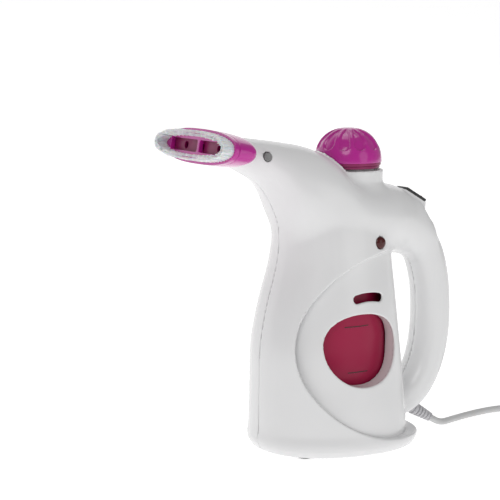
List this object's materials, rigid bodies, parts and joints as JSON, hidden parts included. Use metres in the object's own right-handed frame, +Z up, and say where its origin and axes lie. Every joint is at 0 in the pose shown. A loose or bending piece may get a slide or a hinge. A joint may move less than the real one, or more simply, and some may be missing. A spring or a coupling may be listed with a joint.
{
  "type": "handheld garment steamer",
  "caption": "Handheld garment steamer with a swan neck, oval clip-on brush head, screw filler cap, tank window and loop handle, for smoothing hanging clothes with steam.",
  "frame": {"origin": "on the standing surface, under the middle of the body's base", "axes": "-X the way the steam leaves, +X towards the handle, +Z up, and the indicator lamp is on the -Y side"},
  "size_m": [0.4469, 0.1675, 0.2507],
  "materials": {
    "white_shell": "gloss",
    "pale_plastic": "satin",
    "magenta_plastic": "gloss",
    "tank_plastic": "gloss",
    "lens_red": "gloss",
    "black_plastic": "satin",
    "red_plastic": "gloss",
    "grey_plastic": "satin",
    "bristle_nylon": "satin",
    "grey_pvc": "matte",
    "rubber_dark": "matte",
    "silicone": "matte",
    "steel": "bright",
    "aluminium": "cast",
    "heater_sheath": "dull",
    "brass": "bright",
    "bakelite": "satin",
    "lamp_glass": "clear",
    "nylon_white": "satin",
    "wire_brown": "satin",
    "wire_blue": "satin"
  },
  "bodies": {
    "root": {"housing_left": "white_shell", "housing_right": "white_shell", "base_plate": "pale_plastic", "rubber_feet": "rubber_dark", "base_screws": "steel", "housing_screws": "steel", "water_tank": "tank_plastic", "filler_neck": "pale_plastic", "heater_gasket": "silicone", "heater_plate": "aluminium", "heating_element": "heater_sheath", "tank_screws": "steel", "thermostat": "bakelite", "thermal_fuse": "nylon_white", "steam_tube": "silicone", "head_socket": "pale_plastic", "socket_seal": "rubber_dark", "indicator_lens": "lens_red", "indicator_lamp": "lamp_glass", "lamp_holder": "nylon_white", "switch_bezel": "black_plastic", "switch_body": "black_plastic", "switch_terminals": "brass", "terminal_block": "nylon_white", "cord_clamp": "nylon_white", "inner_cord": "grey_pvc", "live_wires": "wire_brown", "neutral_wires": "wire_blue", "strain_relief": "grey_pvc", "cord_run": "grey_pvc", "cord_coil": "grey_pvc", "cord_tail": "grey_pvc", "cord_tie": "pale_plastic", "plug_body": "grey_pvc", "plug_pins": "brass", "button_spring_left": "steel", "button_spring_right": "steel"},
    "cap_lift": {"cap_seal": "silicone"},
    "cap": {"cap_dome": "magenta_plastic", "cap_liner": "magenta_plastic"},
    "rocker": {"switch_rocker": "red_plastic"},
    "button_left": {"release_button_left": "grey_plastic"},
    "button_right": {"release_button_right": "grey_plastic"},
    "steam_head": {"head_shell": "magenta_plastic", "head_spigot": "magenta_plastic", "head_face": "magenta_plastic"},
    "brush": {"brush_frame": "magenta_plastic", "brush_bristles": "bristle_nylon"}
  },
  "joints": [
    {"name": "cap_rise", "type": "slide", "parent": "root", "child": "cap_lift", "axis": [0, 0, 1], "range_m": [0, 0.0141]},
    {"name": "cap_turn", "type": "hinge", "parent": "cap_lift", "child": "cap", "pos_m": [0.013, 0, 0.22], "axis": [0, 0, 1], "range_deg": [0, 720]},
    {"name": "switch_rock", "type": "hinge", "parent": "root", "child": "rocker", "pos_m": [0.07124, 0, 0.19031], "axis": [0, 1, 0], "range_deg": [0, 18]},
    {"name": "button_left_press", "type": "slide", "parent": "root", "child": "button_left", "axis": [0, 1, 0], "range_m": [0, 0.003], "stiffness_N_per_m": 300, "deforming": ["button_spring_left"]},
    {"name": "button_right_press", "type": "slide", "parent": "root", "child": "button_right", "axis": [0, -1, 0], "range_m": [0, 0.003], "stiffness_N_per_m": 300, "deforming": ["button_spring_right"]},
    {"name": "head_pull", "type": "slide", "parent": "root", "child": "steam_head", "axis": [-0.9848, 0, 0.1736], "range_m": [0, 0.034]},
    {"name": "brush_pull", "type": "slide", "parent": "steam_head", "child": "brush", "axis": [-0.9848, 0, 0.1736], "range_m": [0, 0.012]}
  ],
  "couplings": [
    {"joint": "cap_rise", "follows": "cap_turn", "m_per_rad": 0.0011141}
  ]
}
